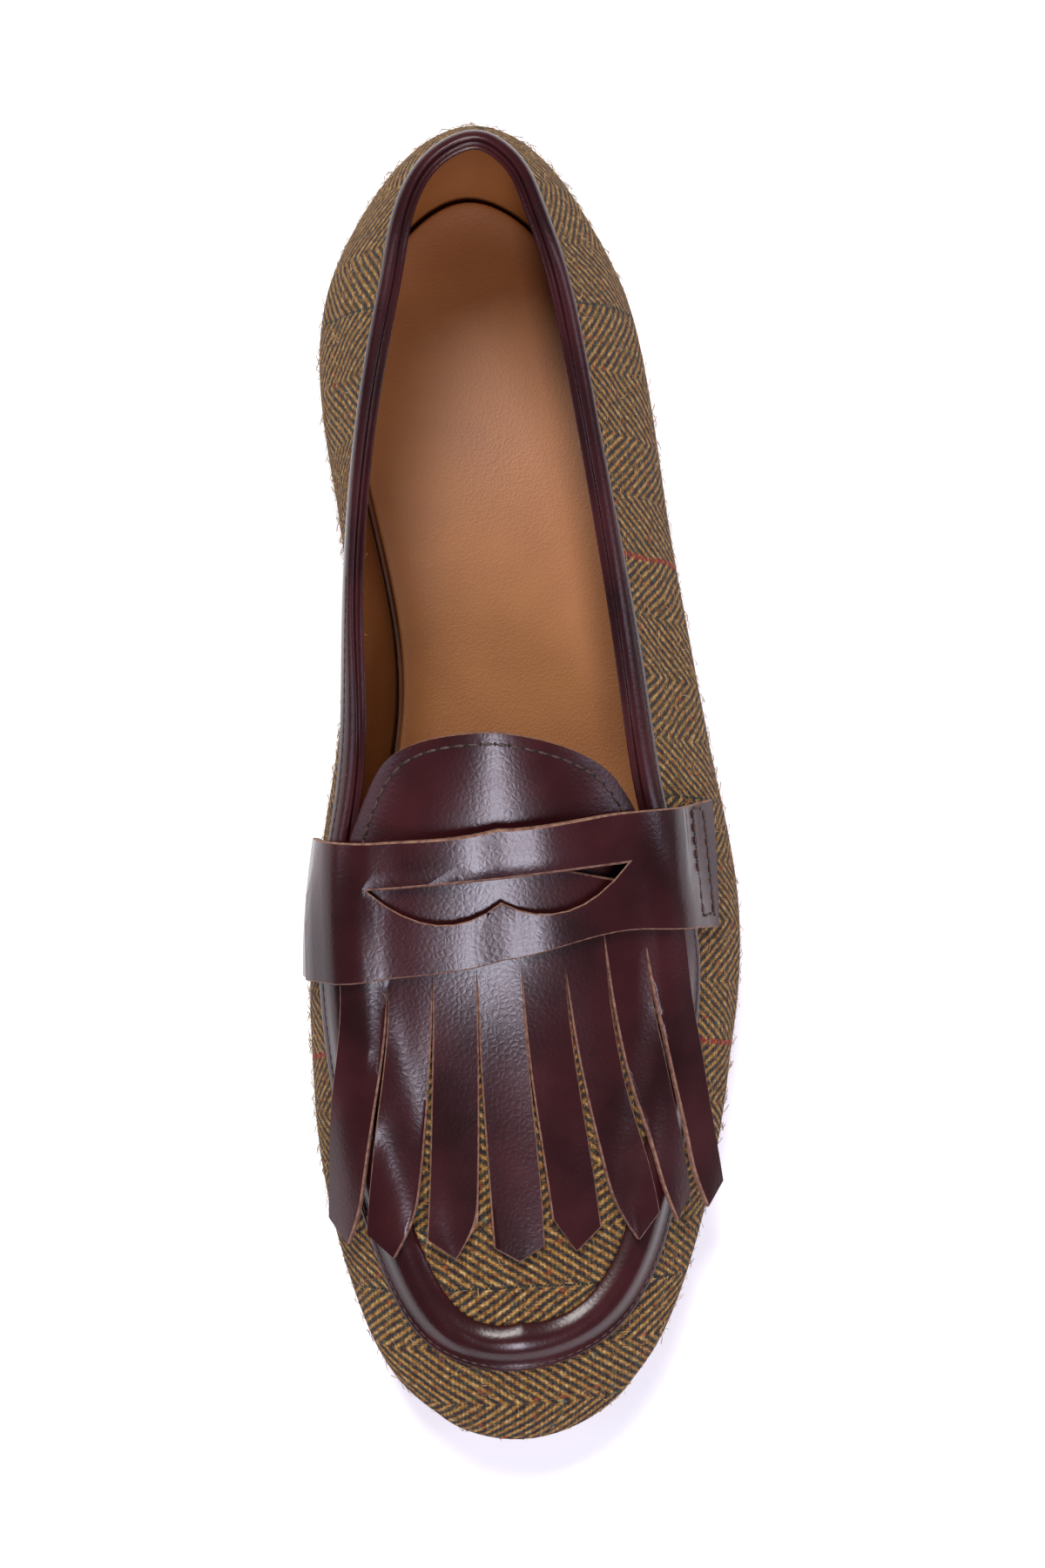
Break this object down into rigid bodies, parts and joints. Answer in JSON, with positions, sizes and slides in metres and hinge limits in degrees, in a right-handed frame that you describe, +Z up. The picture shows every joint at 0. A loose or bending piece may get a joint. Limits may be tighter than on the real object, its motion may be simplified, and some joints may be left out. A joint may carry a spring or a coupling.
{
  "type": "kiltie loafer",
  "caption": "Left slip-on loafer with a woven tweed upper, moccasin apron, slotted instep strap, fringed kiltie, low stacked heel and leather sole.",
  "frame": {"origin": "on the floor under the middle of the shoe's bounding box", "axes": "+Z up, +Y towards the heel, -Y towards the toe, +X towards the outer side of the foot"},
  "size_m": [0.0882, 0.258, 0.073],
  "materials": {
    "tweed": "fuzzy herringbone wool",
    "burgundy_leather": "glossy box calf",
    "tan_leather": "smooth lining leather",
    "sole_leather": "dense sole leather",
    "heel_leather": "stacked leather, polished edge",
    "heel_rubber": "matt"
  },
  "bodies": {
    "root": {"outsole": "sole_leather", "heel_stack": "heel_leather", "heel_top_piece": "heel_rubber", "insole": "tan_leather", "upper": "tweed", "tongue": "burgundy_leather", "collar_binding": "burgundy_leather", "apron_band": "burgundy_leather", "kiltie": "burgundy_leather", "strap": "burgundy_leather"}
  },
  "joints": []
}
